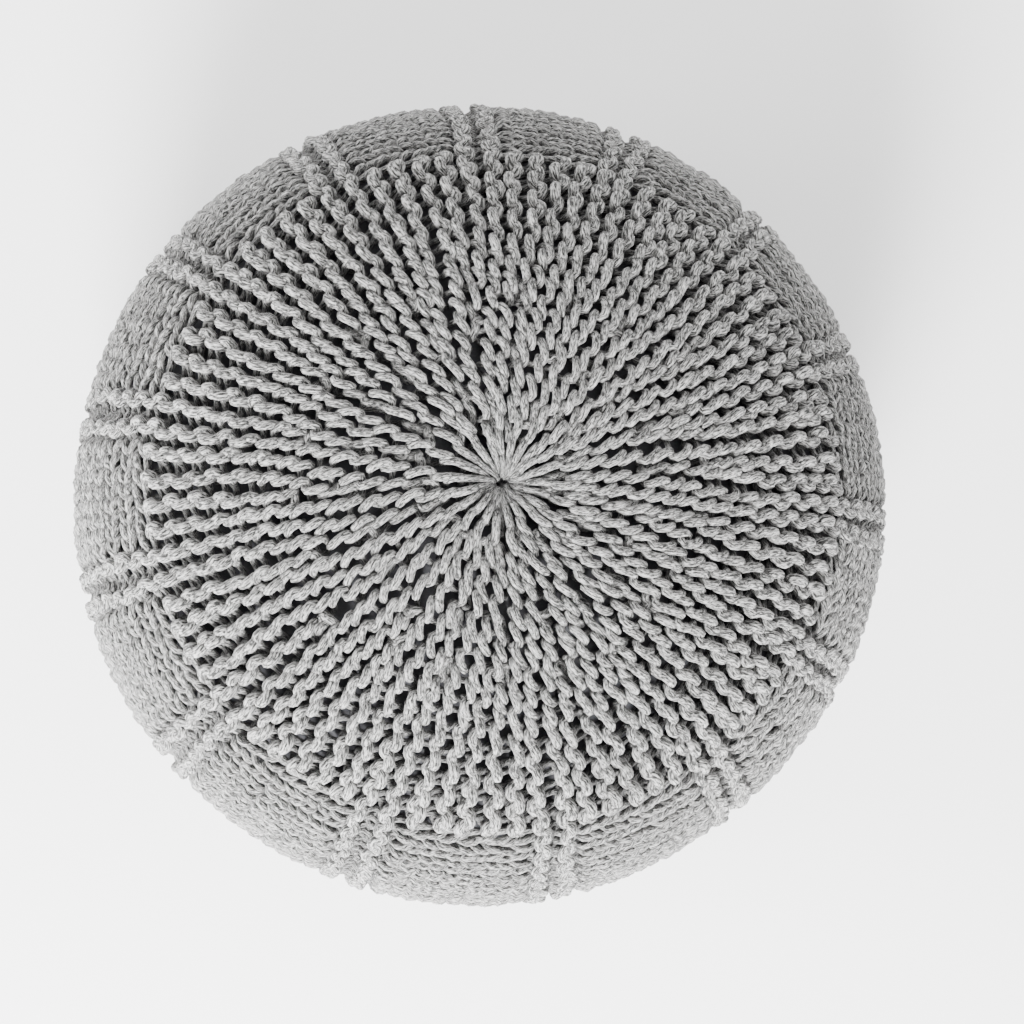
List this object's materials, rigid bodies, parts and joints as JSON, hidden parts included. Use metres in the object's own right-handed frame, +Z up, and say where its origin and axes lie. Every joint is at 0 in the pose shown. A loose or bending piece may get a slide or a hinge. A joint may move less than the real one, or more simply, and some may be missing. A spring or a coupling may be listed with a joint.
{
  "type": "knitted floor pouf",
  "caption": "Round floor cushion with a thick hand-knitted cover, rows gathered at the crown, over a lined, filled bag that a zip in the woven base closes.",
  "frame": {"origin": "on the floor, under the crown: the centre of the foot that the pouf stands on", "axes": "+Z up, through the crown; X along the zip in the base, with the closed zip's slider at +X; Y across the zip"},
  "size_m": [0.5, 0.5, 0.3151],
  "materials": {
    "cotton_cord": "soft matt knitted cotton cord",
    "black_lining": "matt plain-weave lining",
    "white_beads": "loose foam beads",
    "black_canvas": "matt woven canvas",
    "black_nylon": "semi-matt moulded nylon",
    "dark_zinc": "dark plated die-cast zinc"
  },
  "bodies": {
    "root": {"knitted_cover": "cotton_cord", "crown_gathering_cord": "cotton_cord", "lining_top_panel": "black_lining", "lining_side_band": "black_lining", "lining_bottom_panel": "black_lining", "bead_filling": "white_beads", "base_binding": "black_canvas", "base_cloth_left": "black_canvas", "base_cloth_right": "black_canvas", "zip_tape_left": "black_canvas", "zip_tape_right": "black_canvas", "zip_coil_left": "black_nylon", "zip_coil_right": "black_nylon", "zip_top_stop_left": "dark_zinc", "zip_top_stop_right": "dark_zinc", "zip_bottom_stop": "dark_zinc"},
    "zip_slider": {"zip_slider": "dark_zinc"},
    "zip_pull": {"zip_pull": "dark_zinc"}
  },
  "joints": [
    {"name": "zip_slide", "type": "slide", "parent": "root", "child": "zip_slider", "axis": [-1, 0, 0], "range_m": [0, 0.2344]},
    {"name": "zip_pull_hinge", "type": "hinge", "parent": "zip_slider", "child": "zip_pull", "pos_m": [0.1172, 0, 0.004], "axis": [0, -1, 0], "range_deg": [0, 170]}
  ]
}
